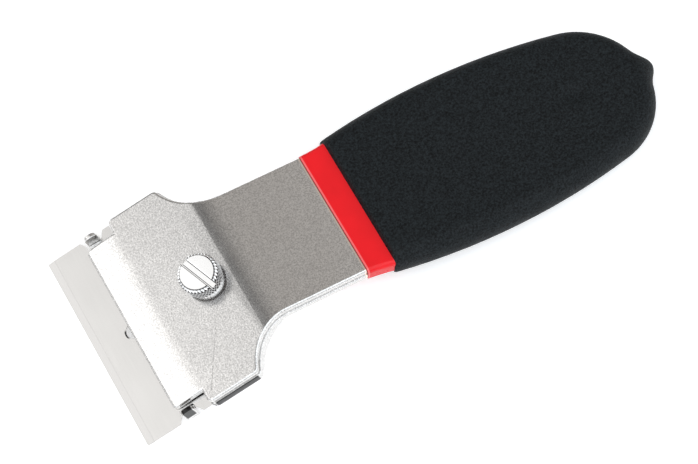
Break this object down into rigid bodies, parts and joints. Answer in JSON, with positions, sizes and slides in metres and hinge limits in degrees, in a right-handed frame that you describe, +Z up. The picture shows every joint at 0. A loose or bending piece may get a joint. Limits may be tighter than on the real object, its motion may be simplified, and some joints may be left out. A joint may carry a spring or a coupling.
{
  "type": "razor blade scraper",
  "caption": "Hand scraper: stamped steel plates clamp a single-edge razor blade under a knurled thumb screw, with a dipped red and black vinyl handle.",
  "frame": {"origin": "bottom centre of the bounding box, on the level of the blade's cutting edge, with the handle level", "axes": "+X from the blade toward the end of the handle, +Y across the blade, +Z up, square to the handle's flat faces"},
  "size_m": [0.1086, 0.039, 0.0141],
  "materials": {
    "blade_steel": "ground carbon steel, smooth",
    "plate_steel": "satin nickel-plated stamped steel",
    "screw_chrome": "bright plated, diamond knurl",
    "red_vinyl": "smooth glossy dipped vinyl",
    "black_vinyl": "matte foamed vinyl with a fine grain"
  },
  "bodies": {
    "tool": {"razor_blade": "blade_steel", "blade_spine": "blade_steel", "upper_plate": "plate_steel", "lower_plate": "plate_steel", "tail_eyelet": "plate_steel", "red_undercoat": "red_vinyl", "black_grip": "black_vinyl"},
    "retaining_clip": {"retaining_clip": "screw_chrome"},
    "thumb_screw": {"thumb_screw": "screw_chrome"}
  },
  "joints": [
    {"name": "screw_lift", "type": "slide", "parent": "tool", "child": "retaining_clip", "axis": [-0.3173, 0, 0.9483], "range_m": [0, 0.0014]},
    {"name": "screw_turn", "type": "hinge", "parent": "retaining_clip", "child": "thumb_screw", "pos_m": [-0.03366, 0, 0.0089], "axis": [-0.3173, 0, 0.9483], "range_deg": [0, 720]}
  ],
  "couplings": [
    {"joint": "screw_turn", "follows": "screw_lift", "rad_per_m": 8975.9}
  ]
}
